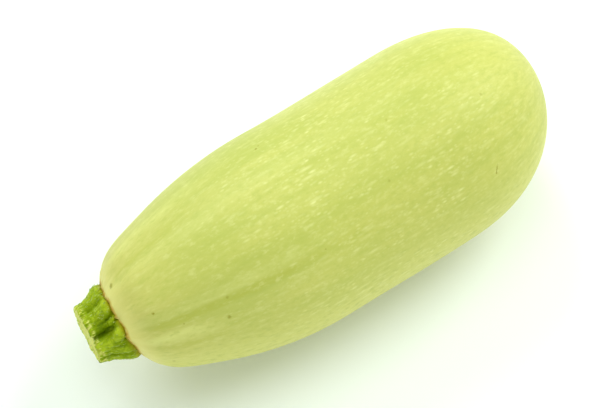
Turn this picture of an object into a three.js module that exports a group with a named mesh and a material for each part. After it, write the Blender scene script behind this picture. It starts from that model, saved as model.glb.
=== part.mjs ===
// A pale courgette as picked, lying on its side: the fruit and the short cut stem that it hung from.
//
// Millimetres, +Z up, +X from the stem towards the blossom end. The origin is on the surface that the
// courgette lies on, under the middle of its bounding box. While the pieces are shaped, x runs from 0 at
// the fruit's stem end, y and z are measured from the axis of its belly, and an angle round that axis is
// 0 at the top (+Z), 90 at the +Y side and 180 underneath.

import * as THREE from "three";
import { mergeVertices } from "three/addons/utils/BufferGeometryUtils.js";

// The fruit's outline: a straight belly between two rounded ends.
const FRUIT_LENGTH = 208;
const BELLY_RADIUS = 42.5;
const STEM_END = { length: 89, fullness: 1.88 };
const BLOSSOM_END = { length: 57, fullness: 2.16 };
const SHOULDER = { x: 16, spread: 12, rise: 1.8 };
const WAIST = { x: 100, spread: 22, depth: 0.4 };

// The axis is straight in the belly and swings towards +Y at both ends. The last sections before the stem
// lean: the top of each reaches further towards the stem than its underside.
const STEM_SWING = { y: 4.6, fromX: 130, power: 3 };
const BLOSSOM_SWING = { y: 5.7, fromX: 48, power: 5.8 };
const SEAT_LEAN = { up: 0.17, side: -0.075, reach: 60 };

// Soft grooves between the fruit's ribs, at these angles, with a fainter one halfway between each pair.
const RIB_GROOVES = [20, 90, 161, 230, 317];
const MAIN_GROOVE = { depth: 1.5, halfWidth: 13, reach: 95 };
const FAINT_GROOVE = { depth: 0.6, halfWidth: 9, reach: 65 };
const GROOVES_DEEPEST_X = 20;
const GROOVE_FADE = 1.5;

// The seat that the stem stands in, and the scar that the blossom leaves, from its edge to its middle.
const SEAT = { floorX: 11, lipX: 10, lipRadius: 17.4, wallRadius: 17, blend: 5 };
const SCAR_RINGS = [
  { radius: 7.6, sink: 0.9 },
  { radius: 5.6, sink: 1.4 },
  { radius: 4.2, sink: 1.6 },
  { radius: 3.5, sink: 1.0 },
  { radius: 1.8, sink: 0.9 },
];

// How far the underside is flattened where the fruit lies on it.
const FLAT_DEPTH = 0.6;

// The stem. Each list runs from its base to its cut: the radius over its ridges, and how deep the grooves
// between them are.
const STEM_GAP = 0.3;
const STEM_BASE_X = SEAT.floorX - STEM_GAP;
const CUT = { x: -4.5, swing: 5.2, drop: 1, lean: { up: -0.035, side: -0.07 }, bevel: 0.5, dish: 0.8 };
const STEM_RADII = [16.1, 16.9, 16.7, 15.8, 14.7, 13.7, 12.9, 12.5];
const STEM_GROOVES = [1.3, 1.9, 2.4, 2.7, 2.8, 2.7, 2.4, 2.0];
const STEM_RIDGES = [
  { angle: 5, halfWidth: 20, rise: 0, twist: 0, fall: 0 },
  { angle: 28, halfWidth: 12, rise: -1.5, twist: 6, fall: -1 },
  { angle: 45, halfWidth: 21, rise: 0.2, twist: 9, fall: 0 },
  { angle: 89, halfWidth: 22, rise: 0, twist: 4, fall: 0 },
  { angle: 134, halfWidth: 23, rise: 0.3, twist: 0, fall: 0 },
  { angle: 184, halfWidth: 24, rise: -0.2, twist: 0, fall: 0 },
  { angle: 228, halfWidth: 20, rise: 0.1, twist: 0, fall: 0 },
  { angle: 268, halfWidth: 16, rise: 0, twist: 0, fall: 0 },
  { angle: 292, halfWidth: 14, rise: -0.2, twist: -4, fall: 0 },
  { angle: 326, halfWidth: 16, rise: 0.3, twist: -24, fall: 0 },
  { angle: 342, halfWidth: 12, rise: -0.2, twist: 0, fall: 2.8 },
];
const RIDGE_SHARPNESS = 1.8;
const POCKET = { angle: 337, halfWidth: 11, share: 0.66, reach: 0.18, depth: 1.6 };

// Fineness of the two meshes.
const FRUIT_SIDES = 72;
const END_RINGS = 14;
const BELLY_RINGS = 8;
const STEM_SIDES = 80;
const STEM_RINGS = 11;

const { clamp, degToRad, euclideanModulo, lerp, radToDeg, smoothstep } = THREE.MathUtils;

// The turn in degrees from one angle to another, by the shorter way.
const turn = (from, to) => euclideanModulo(to - from + 180, 360) - 180;

// 1 in the middle of a soft rise or hollow, falling to 0 on both sides.
const bell = (offset, halfWidth) => Math.exp(-((offset / halfWidth) ** 2));

// Reads a list of evenly spaced values at a share of its length, along a smooth curve.
function alongList(values, share) {
  const points = values.map((value, i) => new THREE.Vector2(i, value));
  return new THREE.SplineCurve(points).getPoint(clamp(share, 0, 1)).y;
}

// ---- The fruit's form ----

// A rounded end's radius, as a share of the belly's, at a share of the way from the belly to its tip.
const roundedEnd = (end, share) => (1 - share ** end.fullness) ** (1 / end.fullness);

function fruitRadius(x) {
  const stemEnd = roundedEnd(STEM_END, clamp(1 - x / STEM_END.length, 0, 1));
  const blossomEnd = roundedEnd(BLOSSOM_END, clamp(1 - (FRUIT_LENGTH - x) / BLOSSOM_END.length, 0, 1));
  const shoulder = SHOULDER.rise * bell(x - SHOULDER.x, SHOULDER.spread);
  const waist = WAIST.depth * bell(x - WAIST.x, WAIST.spread);
  return BELLY_RADIUS * stemEnd * blossomEnd + shoulder - waist;
}

// How far the axis has swung towards +Y at a given x.
function axisSwing(x) {
  const stemShare = clamp(1 - x / STEM_SWING.fromX, 0, 1);
  const blossomShare = clamp(1 - (FRUIT_LENGTH - x) / (FRUIT_LENGTH - BLOSSOM_SWING.fromX), 0, 1);
  const stemSide = STEM_SWING.y * stemShare ** STEM_SWING.power;
  const blossomSide = BLOSSOM_SWING.y * blossomShare ** BLOSSOM_SWING.power;
  return stemSide + blossomSide;
}

// How far the section at a given x leans: all of it at the seat, and none in the belly.
function sectionLean(x) {
  const share = clamp((SEAT_LEAN.reach - x) / (SEAT_LEAN.reach - SEAT.floorX), 0, 1) ** 2;
  return { up: SEAT_LEAN.up * share, side: SEAT_LEAN.side * share };
}

// How deep one groove is at a given x and at an angle aside from its middle. Its mean over a whole turn is
// taken off, so that the ribs rise by as much as the grooves sink.
function grooveSink(groove, x, aside) {
  const depth = groove.depth * clamp(1 - x / groove.reach, 0, 1) ** GROOVE_FADE;
  const mean = (groove.halfWidth * Math.sqrt(Math.PI)) / 360;
  return depth * (bell(aside, groove.halfWidth) - mean);
}

// How far the skin stands out on the ribs, or sinks in the grooves between them.
function ribRelief(x, angle) {
  let sink = 0;
  RIB_GROOVES.forEach((grooveAngle, i) => {
    const nextAngle = RIB_GROOVES[(i + 1) % RIB_GROOVES.length];
    const betweenAngle = grooveAngle + turn(grooveAngle, nextAngle) / 2;
    sink += grooveSink(MAIN_GROOVE, x, turn(grooveAngle, angle));
    sink += grooveSink(FAINT_GROOVE, x, turn(betweenAngle, angle));
  });
  return -sink * smoothstep(x, SEAT.lipX, GROOVES_DEEPEST_X);
}

// ---- The stem's form ----

// Ridges side by side, each a rounded bump, that meet in grooves.
function stemRadius(share, angle) {
  const crest = alongList(STEM_RADII, share);
  const groove = alongList(STEM_GROOVES, share);
  const reaches = STEM_RIDGES.map((ridge) => {
    const aside = turn(ridge.angle + ridge.twist * share, angle) / ridge.halfWidth;
    return crest + ridge.rise - ridge.fall * share - groove * aside ** 2;
  });
  const blended = reaches.reduce((sum, reach) => sum + Math.exp(RIDGE_SHARPNESS * (reach - crest)), 0);
  const besidePocket = bell(turn(POCKET.angle, angle), POCKET.halfWidth);
  const alongPocket = bell(share - POCKET.share, POCKET.reach);
  return crest + Math.log(blended) / RIDGE_SHARPNESS - POCKET.depth * besidePocket * alongPocket;
}

// ---- The fruit's skin ----

// The ribs, and near the seat the way that its lip comes in to follow the grooves at the base of the stem.
function skinRelief(x, radius, angle) {
  if (x > STEM_END.length) return 0;
  const lipInset = STEM_RADII[0] - stemRadius(0, angle);
  const nearLip = bell(Math.max(0, radius - SEAT.lipRadius), SEAT.blend);
  const onFloor = Math.min(1, radius / SEAT.wallRadius);
  return ribRelief(x, angle) * onFloor - lipInset * nearLip * onFloor;
}

// ---- Turning outlines into meshes ----

// Turns an outline of [radius, x] points round the x axis, then places every vertex by a rule, which is
// given the vertex's x, its distance from the axis and its angle, and gives back its place.
function turnedMesh(name, outline, sides, material, rule) {
  const points = outline.map(([radius, x]) => new THREE.Vector2(radius, x));
  const lathe = new THREE.LatheGeometry(points, sides).rotateZ(-Math.PI / 2);
  lathe.deleteAttribute("normal");
  lathe.deleteAttribute("uv");
  const geometry = mergeVertices(lathe);
  const vertices = geometry.getAttribute("position");
  const vertex = new THREE.Vector3();
  for (let i = 0; i < vertices.count; i++) {
    vertex.fromBufferAttribute(vertices, i);
    const angle = radToDeg(Math.atan2(vertex.y, vertex.z));
    vertex.copy(rule(vertex.x, Math.hypot(vertex.y, vertex.z), angle));
    vertices.setXYZ(i, vertex.x, vertex.y, vertex.z);
  }
  geometry.computeVertexNormals();
  const mesh = new THREE.Mesh(geometry, material);
  mesh.name = name;
  return mesh;
}

// A point at a radius and an angle round the axis, on a section that leans and is moved aside.
function onSection(x, radius, angle, lean, swing, drop) {
  const y = radius * Math.sin(degToRad(angle));
  const z = radius * Math.cos(degToRad(angle));
  return new THREE.Vector3(x - lean.up * z - lean.side * y, y + swing, z - drop);
}

// Distances from a rounded end's tip to its rings, from a given turn of its outline up to the belly. They
// are spread evenly over the turn, so they are closest where the outline curves most.
function endRings(end, firstTurn) {
  return Array.from({ length: END_RINGS }, (_, i) => {
    const ringTurn = lerp(firstTurn, Math.PI / 2, (i + 1) / END_RINGS);
    return end.length * (1 - Math.cos(ringTurn) ** (2 / end.fullness));
  });
}

function fruitOutline() {
  const lipTurn = Math.acos((1 - SEAT.lipX / STEM_END.length) ** (STEM_END.fullness / 2));
  const scarTurn = Math.asin((SCAR_RINGS[0].radius / BELLY_RADIUS) ** (BLOSSOM_END.fullness / 2));
  const stemRings = endRings(STEM_END, lipTurn);
  const blossomRings = endRings(BLOSSOM_END, scarTurn).map((distance) => FRUIT_LENGTH - distance);
  const bellyRings = Array.from({ length: BELLY_RINGS }, (_, i) =>
    lerp(stemRings.at(-1), blossomRings.at(-1), (i + 1) / (BELLY_RINGS + 1)),
  );
  const seat = [
    [0, SEAT.floorX],
    [SEAT.wallRadius / 2, SEAT.floorX],
    [SEAT.wallRadius, SEAT.floorX],
    [SEAT.lipRadius, SEAT.lipX],
  ];
  const skin = [...stemRings, ...bellyRings, ...blossomRings.reverse()].map((x) => [fruitRadius(x), x]);
  const scar = SCAR_RINGS.map(({ radius, sink }) => [radius, FRUIT_LENGTH - sink]);
  const scarMiddle = [0, FRUIT_LENGTH - SCAR_RINGS.at(-1).sink];
  return [...seat, ...skin, ...scar, scarMiddle];
}

function makeFruit() {
  const skin = new THREE.MeshStandardMaterial({ color: 0xd3da7c, roughness: 0.42, metalness: 0 });
  const underside = FLAT_DEPTH - BELLY_RADIUS;
  return turnedMesh("fruit", fruitOutline(), FRUIT_SIDES, skin, (x, radius, angle) => {
    const skinRadius = radius + skinRelief(x, radius, angle);
    const place = onSection(x, skinRadius, angle, sectionLean(x), axisSwing(x), 0);
    place.z = Math.max(place.z, underside);
    return place;
  });
}

// From the middle of the dished cut, over its bevelled rim and along the ridges, to the middle of the base.
function stemOutline() {
  const cutRadius = STEM_RADII.at(-1);
  const faceX = CUT.x - CUT.bevel;
  const sideRings = Array.from({ length: STEM_RINGS + 1 }, (_, i) => {
    const share = 1 - i / STEM_RINGS;
    return [alongList(STEM_RADII, share), lerp(STEM_BASE_X, CUT.x, share)];
  });
  return [
    [0, faceX + CUT.dish],
    [cutRadius / 2, faceX + CUT.dish],
    [cutRadius - CUT.bevel, faceX],
    ...sideRings,
    [0, STEM_BASE_X],
  ];
}

function makeStem() {
  const green = new THREE.MeshStandardMaterial({ color: 0x8fae1f, roughness: 0.5, metalness: 0 });
  const baseLean = sectionLean(STEM_BASE_X);
  const baseSwing = axisSwing(STEM_BASE_X);
  return turnedMesh("stem", stemOutline(), STEM_SIDES, green, (x, radius, angle) => {
    const share = clamp((STEM_BASE_X - x) / (STEM_BASE_X - CUT.x), 0, 1);
    const lean = {
      up: lerp(baseLean.up, CUT.lean.up, share),
      side: lerp(baseLean.side, CUT.lean.side, share),
    };
    const ridgedRadius = (radius * stemRadius(share, angle)) / alongList(STEM_RADII, share);
    return onSection(x, ridgedRadius, angle, lean, lerp(baseSwing, CUT.swing, share), CUT.drop * share);
  });
}

const courgette = new THREE.Group();
courgette.add(makeFruit(), makeStem());

// The origin goes to the surface that the fruit lies on, under the middle of the box.
const box = new THREE.Box3().setFromObject(courgette, true);
const middle = box.getCenter(new THREE.Vector3());
courgette.children.forEach((piece) => {
  piece.position.set(-middle.x, -middle.y, -box.min.z);
});

export default courgette;
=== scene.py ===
"""A pale courgette as picked, on a white floor: the ribbed fruit, its cut stem and the studio.

Metres, +Z up, +X from the stem towards the blossom end. Places along the fruit are measured from the
virtual tip that its stem end would round off to. An angle round the fruit or the stem is 0 on top, 90 at
the +Y side and 180 underneath.
"""

import logging
import math
import random
from collections.abc import Callable, Iterable
from dataclasses import dataclass, field
from enum import Enum
from functools import cached_property

import bmesh
import bpy
import numpy as np
from mathutils import Matrix, Quaternion, Vector, noise


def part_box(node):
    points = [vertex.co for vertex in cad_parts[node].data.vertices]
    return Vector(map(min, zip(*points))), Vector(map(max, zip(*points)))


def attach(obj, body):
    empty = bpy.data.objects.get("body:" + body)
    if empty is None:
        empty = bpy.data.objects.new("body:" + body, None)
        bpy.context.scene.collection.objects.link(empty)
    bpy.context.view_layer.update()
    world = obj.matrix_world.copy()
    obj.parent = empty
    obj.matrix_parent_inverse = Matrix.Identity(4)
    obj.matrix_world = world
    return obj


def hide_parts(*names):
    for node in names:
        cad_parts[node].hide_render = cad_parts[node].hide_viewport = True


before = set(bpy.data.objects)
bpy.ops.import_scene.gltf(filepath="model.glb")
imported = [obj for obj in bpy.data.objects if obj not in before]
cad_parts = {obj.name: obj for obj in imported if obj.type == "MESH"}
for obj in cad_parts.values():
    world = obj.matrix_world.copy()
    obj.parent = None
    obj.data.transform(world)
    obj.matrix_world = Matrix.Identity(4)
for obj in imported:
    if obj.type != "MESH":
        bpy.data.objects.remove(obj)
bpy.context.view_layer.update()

MM = 0.001
NOTICEABLE = 0.001  # a share that is worth working out
SLIGHTEST_TILT = 1e-6
log = logging.getLogger("courgette")

Socket = bpy.types.NodeSocket
Triple = tuple[float, float, float]
Paint = tuple[float, float, float, float]
Rule = Callable[[Vector], float]


# ---- Measuring ----


def share_between(value: float, low: float, high: float) -> float:
    """How far a value is on its way from low to high, from 0 to 1."""
    return min(max((value - low) / (high - low), 0.0), 1.0)


def smooth_share(value: float, low: float, high: float) -> float:
    """How far a value is on its way from low to high, easing in and out."""
    share = share_between(value, low, high)
    return share * share * (3 - 2 * share)


def blend_of(start: float, end: float, share: float) -> float:
    """The value at a share of the way from start to end."""
    return start + (end - start) * share


def bell(offset: float, half_width: float) -> float:
    """1 in the middle of a soft rise or hollow, falling to 0 on both sides."""
    return math.exp(-((offset / half_width) ** 2))


def turn(start: float, end: float) -> float:
    """The turn in degrees from one angle to another, by the shorter way."""
    return (end - start + 180) % 360 - 180


def along_list(values: tuple[float, ...], share: float) -> float:
    """Reads a list of evenly spaced values at a share of its length, along a smooth curve.

    Args:
        values: The values, from the start to the end.
        share: Where to read, from 0 to 1.

    Returns:
        The value there.
    """
    place = min(max(share, 0.0), 1.0) * (len(values) - 1)
    index = min(int(place), len(values) - 2)
    step = place - index
    before = values[max(index - 1, 0)]
    start, end = values[index], values[index + 1]
    after = values[min(index + 2, len(values) - 1)]
    slope_in, slope_out = (end - before) / 2, (after - start) / 2
    bend = 3 * (end - start) - 2 * slope_in - slope_out
    return start + slope_in * step + bend * step**2 + (slope_in + slope_out - 2 * (end - start)) * step**3


def wrapped(x: float, radius: float, angle: float) -> Vector:
    """A place at a distance from the X axis and an angle round it, for a pattern that goes all round."""
    around = math.radians(angle)
    return Vector((x, radius * math.cos(around), radius * math.sin(around)))


# ---- The bench: how a piece is shaped ----


class Direction(Enum):
    """The way that a relief moves a surface."""

    OUTWARD = "NORMAL"
    TOWARDS_BLOSSOM = "X"


@dataclass(frozen=True)
class Ring:
    """One cross-section of a piece that grows along X."""

    x: float
    radius: float
    centre_y: float
    centre_z: float
    lean_up: float = 0.0
    lean_side: float = 0.0

    @property
    def centre(self) -> Vector:
        """The middle of the ring."""
        return Vector((self.x, self.centre_y, self.centre_z))

    def outward(self, angle: float) -> Vector:
        """The way out of the ring at an angle round it.

        Args:
            angle: The angle.

        Returns:
            The way, one unit long.
        """
        around = math.radians(angle)
        aside, above = math.sin(around), math.cos(around)
        return Vector((-self.lean_up * above - self.lean_side * aside, aside, above)).normalized()

    def look_in(self, piece: bpy.types.Object, angle: float, start: float) -> tuple[Vector, Vector] | None:
        """Looks from outside, at an angle round the ring, straight at its middle.

        Args:
            piece: The piece that is looked for.
            angle: The angle round the ring.
            start: How far from the middle the look starts.

        Returns:
            Where it meets the piece and the surface's normal there, or None.
        """
        outward = self.outward(angle)
        hit, place, normal, _ = piece.ray_cast(self.centre + outward * start, -outward)
        return (place, normal) if hit else None


def select_only(*pieces: bpy.types.Object) -> None:
    """Makes these the selected pieces, and the first of them the active one."""
    bpy.ops.object.select_all(action="DESELECT")
    for piece in pieces:
        piece.select_set(True)
    bpy.context.view_layer.objects.active = pieces[0]


def lay_circle(name: str, **shape: object) -> bpy.types.Object:
    """Adds the circle that a piece grows from, selected all over in edit mode.

    Args:
        name: The piece's name.
        **shape: The circle's sides, radius, fill, place and turn.

    Returns:
        The piece.
    """
    bpy.ops.object.select_all(action="DESELECT")
    bpy.ops.mesh.primitive_circle_add(**shape)
    piece = bpy.context.object
    piece.name = name
    piece.data.name = name
    bpy.ops.object.transform_apply(location=True, rotation=True, scale=True)
    bpy.ops.object.mode_set(mode="EDIT")
    bpy.ops.mesh.select_mode(type="VERT")
    bpy.ops.mesh.select_all(action="SELECT")
    return piece


def face_outwards() -> None:
    """Turns every face of the piece in edit mode outwards and leaves edit mode."""
    bpy.ops.mesh.select_all(action="SELECT")
    bpy.ops.mesh.normals_make_consistent(inside=False)
    bpy.ops.object.mode_set(mode="OBJECT")


class Workpiece:
    """A mesh on the bench: grown ring by ring from a circle, then smoothed, pressed and closed."""

    def __init__(self, name: str, sides: int, first: Ring, capped: bool) -> None:
        """Lays the first ring.

        Args:
            name: The piece's name.
            sides: How many sides its rings have.
            first: The ring that it starts from.
            capped: Whether both ends are closed all along, or open until they are closed by hand.
        """
        self.piece = lay_circle(
            name,
            vertices=sides,
            radius=first.radius,
            fill_type="TRIFAN" if capped else "NOTHING",
            location=first.centre,
            rotation=(0, math.pi / 2, 0),
        )
        self.last = Ring(first.x, first.radius, first.centre_y, first.centre_z)
        self._shape_ring(first)

    def grow(self, rings: Iterable[Ring]) -> None:
        """Extrudes the selected end from ring to ring.

        Args:
            rings: The rings in order.
        """
        for ring in rings:
            step = ring.centre - self.last.centre
            bpy.ops.mesh.extrude_region_move(TRANSFORM_OT_translate={"value": step})
            self._shape_ring(ring)

    def _shape_ring(self, ring: Ring) -> None:
        """Tilts and widens the selected end to a ring's lean and radius.

        Args:
            ring: The ring that the end takes the shape of.
        """
        tilt_up = math.atan(ring.lean_up) - math.atan(self.last.lean_up)
        tilt_side = math.atan(ring.lean_side) - math.atan(self.last.lean_side)
        for axis, tilt in (("Y", tilt_up), ("Z", -tilt_side)):
            if abs(tilt) > SLIGHTEST_TILT:
                bpy.ops.transform.rotate(value=tilt, orient_axis=axis, center_override=ring.centre)
        wider = ring.radius / self.last.radius
        bpy.ops.transform.resize(value=(wider, wider, wider), center_override=ring.centre)
        self.last = ring

    def subdivide(self, levels: int) -> None:
        """Rounds the mesh with a subdivision surface.

        Args:
            levels: How often each face is divided.
        """
        surface = self.piece.modifiers.new("rounding", "SUBSURF")
        surface.levels = levels
        surface.render_levels = levels
        self._apply(surface)

    def press(
        self, name: str, depth: float, rule: Rule, direction: Direction = Direction.OUTWARD
    ) -> None:
        """Moves the surface out, or in where the depth is negative.

        Args:
            name: What the relief is.
            depth: How far a share of 1 moves the surface.
            rule: The share, from 0 to 1, that each point moves.
            direction: The way that it moves.
        """
        relief = self.piece.modifiers.new(name, "DISPLACE")
        relief.direction = direction.value
        relief.mid_level = 0
        relief.strength = depth
        self._apply_by_share(relief, rule)

    def hug(self, target: bpy.types.Object, gap: float, rule: Rule) -> None:
        """Draws part of the surface against another piece.

        Args:
            target: The piece that it lies against.
            gap: How far off it stays.
            rule: How far each point goes, as a share of the way.
        """
        wrap = self.piece.modifiers.new("hugging", "SHRINKWRAP")
        wrap.target = target
        wrap.wrap_method = "NEAREST_SURFACEPOINT"
        wrap.wrap_mode = "OUTSIDE_SURFACE"
        wrap.offset = gap
        self._apply_by_share(wrap, rule)

    def flatten(self, floor: float) -> None:
        """Presses all that hangs below a height flat.

        Args:
            floor: The height.
        """
        self._select("VERT", lambda corner: corner.co.z < floor)
        bpy.ops.transform.resize(value=(1, 1, 0), center_override=(0, 0, floor))
        bpy.ops.object.mode_set(mode="OBJECT")

    def select_open_end(self, beyond: Callable[[Vector], bool]) -> None:
        """Opens edit mode with one open edge selected.

        Args:
            beyond: Tells which points belong to that end.
        """

        def in_end(edge: bmesh.types.BMEdge) -> bool:
            """Whether an edge is open and belongs to the end."""
            return edge.is_boundary and all(beyond(corner.co) for corner in edge.verts)

        self._select("EDGE", in_end)

    def draw_in(self, centre: Vector, shift: Vector, narrower: float) -> None:
        """Extrudes the selected edge by a shift and narrows it towards a centre."""
        bpy.ops.mesh.extrude_region_move(TRANSFORM_OT_translate={"value": shift})
        bpy.ops.transform.resize(value=(narrower, narrower, narrower), center_override=centre + shift)

    def close(self) -> None:
        """Extrudes the selected edge once more, gathers it in one point and leaves edit mode."""
        bpy.ops.mesh.extrude_region_move(TRANSFORM_OT_translate={"value": (0, 0, 0)})
        bpy.ops.mesh.merge(type="CENTER")
        face_outwards()

    def record(self, name: str, rule: Callable[[Vector], Vector]) -> None:
        """Writes a vector on every point, for the finishes to read.

        Args:
            name: The attribute's name.
            rule: The vector at a point.
        """
        values = [component for vertex in self.piece.data.vertices for component in rule(vertex.co)]
        attribute = self.piece.data.attributes.new(name, "FLOAT_VECTOR", "POINT")
        attribute.data.foreach_set("vector", values)

    def shade_smooth(self, sharpest: float) -> None:
        """Shades the piece smooth, apart from edges sharper than an angle in degrees."""
        select_only(self.piece)
        bpy.ops.object.shade_smooth_by_angle(angle=math.radians(sharpest))

    def _select(self, kind: str, chosen: Callable[..., bool]) -> None:
        """Opens edit mode with some points or edges selected.

        Args:
            kind: VERT or EDGE.
            chosen: Tells which of them are selected.
        """
        select_only(self.piece)
        bpy.ops.object.mode_set(mode="EDIT")
        bpy.ops.mesh.select_mode(type=kind)
        bpy.ops.mesh.select_all(action="DESELECT")
        mesh = bmesh.from_edit_mesh(self.piece.data)
        for part in mesh.edges if kind == "EDGE" else mesh.verts:
            part.select = chosen(part)
        mesh.select_flush_mode()
        bmesh.update_edit_mesh(self.piece.data)

    def _apply_by_share(self, modifier: bpy.types.Modifier, rule: Rule) -> None:
        """Applies a modifier to each point by that point's share, from 0 to 1.

        Args:
            modifier: The modifier.
            rule: The share at a point.
        """
        group = self.piece.vertex_groups.new(name=modifier.name)
        for vertex in self.piece.data.vertices:
            share = rule(vertex.co)
            if share > 0:
                group.add([vertex.index], min(share, 1.0), "REPLACE")
        modifier.vertex_group = group.name
        self._apply(modifier)
        self.piece.vertex_groups.clear()

    def _apply(self, modifier: bpy.types.Modifier) -> None:
        """Makes a modifier's result the mesh."""
        select_only(self.piece)
        bpy.ops.object.modifier_apply(modifier=modifier.name)


# ---- Finishes ----


def paint(red: int, green: int, blue: int) -> Paint:
    """A colour given as it looks on a screen, from 0 to 255.

    Args:
        red: Its red.
        green: Its green.
        blue: Its blue.

    Returns:
        The colour as light.
    """

    def light(level: int) -> float:
        """One level as an amount of light."""
        tone = level / 255
        return tone / 12.92 if tone <= 0.04045 else ((tone + 0.055) / 1.055) ** 2.4

    return light(red), light(green), light(blue), 1.0


class Recipe:
    """A material being mixed, with one short method for each kind of node that the finishes use."""

    def __init__(self, name: str) -> None:
        """Starts a material with an empty shader.

        Args:
            name: The material's name.
        """
        self.material = bpy.data.materials.new(name)
        self.material.use_nodes = True
        self.tree = self.material.node_tree
        self.shader = self.tree.nodes["Principled BSDF"]

    def node(self, kind: str, inputs: dict[int | str, object], **settings: object) -> bpy.types.Node:
        """Adds a node.

        Args:
            kind: The node's type.
            inputs: What goes into its sockets: another socket, or a constant.
            **settings: Its own settings.

        Returns:
            The node.
        """
        node = self.tree.nodes.new(kind)
        for name, value in settings.items():
            setattr(node, name, value)
        for socket, value in inputs.items():
            self.feed(node.inputs[socket], value)
        return node

    def feed(self, socket: Socket, value: object) -> None:
        """Links a socket to another, or gives it a constant.

        Args:
            socket: The socket.
            value: What goes into it.
        """
        if isinstance(value, Socket):
            self.tree.links.new(value, socket)
        else:
            socket.default_value = value

    def place(self) -> Socket:
        """The place on the object."""
        return self.node("ShaderNodeTexCoord", {}).outputs["Object"]

    def read(self, name: str) -> Socket:
        """A vector that a piece carries."""
        return self.node("ShaderNodeAttribute", {}, attribute_name=name).outputs["Vector"]

    def axis(self, vector: Socket, name: str) -> Socket:
        """One axis of a vector."""
        return self.node("ShaderNodeSeparateXYZ", {0: vector}).outputs[name]

    def stretched(self, vector: Socket, sizes: Triple) -> Socket:
        """A place counted in grains of a size along each axis, in millimetres."""
        scale = tuple(1 / (size * MM) for size in sizes)
        return self.node("ShaderNodeMapping", {"Vector": vector, "Scale": scale}).outputs[0]

    def cloud(self, vector: Socket, sizes: Triple, detail: float, roughness: float = 0.5) -> Socket:
        """Cloudy noise, about 0.5 in the middle, with clouds of a size in millimetres along each axis.

        Args:
            vector: The place.
            sizes: The clouds' size along each axis.
            detail: How many times finer clouds are added.
            roughness: How strong those are.

        Returns:
            The noise.
        """
        place = self.stretched(vector, sizes)
        inputs = {"Vector": place, "Scale": 1.0, "Detail": detail, "Roughness": roughness}
        return self.node("ShaderNodeTexNoise", inputs).outputs["Fac"]

    def ramp(
        self, value: object, low: float, high: float, start: float = 0.0, end: float = 1.0
    ) -> Socket:
        """Turns a value between low and high into one between start and end, easing in and out."""
        inputs = {"Value": value, "From Min": low, "From Max": high, "To Min": start, "To Max": end}
        return self.node("ShaderNodeMapRange", inputs, interpolation_type="SMOOTHSTEP").outputs[0]

    def sum(self, one: object, other: object) -> Socket:
        """Two values added."""
        return self._math("ADD", one, other)

    def product(self, one: object, other: object) -> Socket:
        """Two values multiplied."""
        return self._math("MULTIPLY", one, other)

    def larger(self, one: object, other: object) -> Socket:
        """The larger of two values."""
        return self._math("MAXIMUM", one, other)

    def _math(self, operation: str, one: object, other: object) -> Socket:
        """Two values worked into one."""
        return self.node("ShaderNodeMath", {0: one, 1: other}, operation=operation).outputs[0]

    def distance(self, vector: object, point: object) -> Socket:
        """How far a place is from a point."""
        return self.node("ShaderNodeVectorMath", {0: vector, 1: point}, operation="DISTANCE").outputs["Value"]

    def moved(self, vector: object, offset: object) -> Socket:
        """A place moved by an offset."""
        return self.node("ShaderNodeVectorMath", {0: vector, 1: offset}, operation="ADD").outputs["Vector"]

    def tint(self, base: object, colour: object, amount: object) -> Socket:
        """A colour mixed into a base by an amount from 0 to 1.

        Args:
            base: The base.
            colour: The colour.
            amount: The amount.

        Returns:
            The mixed colour.
        """
        node = self.node("ShaderNodeMix", {}, data_type="RGBA", clamp_factor=True)
        for name, value in (("Factor_Float", amount), ("A_Color", base), ("B_Color", colour)):
            socket = next(socket for socket in node.inputs if socket.identifier == name)
            self.feed(socket, value)
        return next(socket for socket in node.outputs if socket.identifier == "Result_Color")

    def wash(self, base: object, colour: object, *ramp: object) -> Socket:
        """A colour mixed into a base by a ramp, given as ramp takes it."""
        return self.tint(base, colour, self.ramp(*ramp))

    def specks(self, vector: Socket, sizes: Triple, edge: tuple[float, float], empty: float) -> Socket:
        """Scattered specks, one at most in each cell of a given size.

        Args:
            vector: The place.
            sizes: The cell's size along each axis, in millimetres.
            edge: How far from a speck's middle it starts and ends to fade, in cells.
            empty: The share of the cells that stay empty.

        Returns:
            1 on a speck and 0 beside it.
        """
        inputs = {"Vector": self.stretched(vector, sizes), "Scale": 1.0, "Randomness": 1.0}
        cells = self.node("ShaderNodeTexVoronoi", inputs)
        speck = self.ramp(cells.outputs["Distance"], edge[0], edge[1], 1.0, 0.0)
        draw = self.axis(cells.outputs["Color"], "X")
        return self.product(speck, self.ramp(draw, empty, 1.0))

    def settle(self, **constants: object) -> None:
        """Gives the shader constants, by the names of its sockets with _ for a space."""
        for name, value in constants.items():
            self.shader.inputs[name.replace("_", " ")].default_value = value

    def finish(
        self, colour: Socket, roughness: object, height: Socket, depth: float
    ) -> bpy.types.Material:
        """Feeds the shader.

        Args:
            colour: The surface's colour.
            roughness: How matt it is.
            height: The fine relief, from 0 to 1.
            depth: How deep that relief is.

        Returns:
            The material.
        """
        bump = self.node("ShaderNodeBump", {"Height": height, "Distance": depth, "Strength": 1.0})
        shaded = {"Base Color": colour, "Roughness": roughness, "Normal": bump.outputs["Normal"]}
        for name, value in shaded.items():
            self.feed(self.shader.inputs[name], value)
        return self.material


@dataclass(frozen=True)
class Mark:
    """A small flaw in the skin, with its place along the fruit and its radius in millimetres."""

    x: float
    angle: float
    radius: float
    strength: float


@dataclass(frozen=True)
class SkinLine:
    """A soft line of another tone along the skin, at an angle round the fruit, in millimetres."""

    angle: float
    reach: float
    strength: float
    half_width: float = 3.4
    start: float = 14


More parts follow.
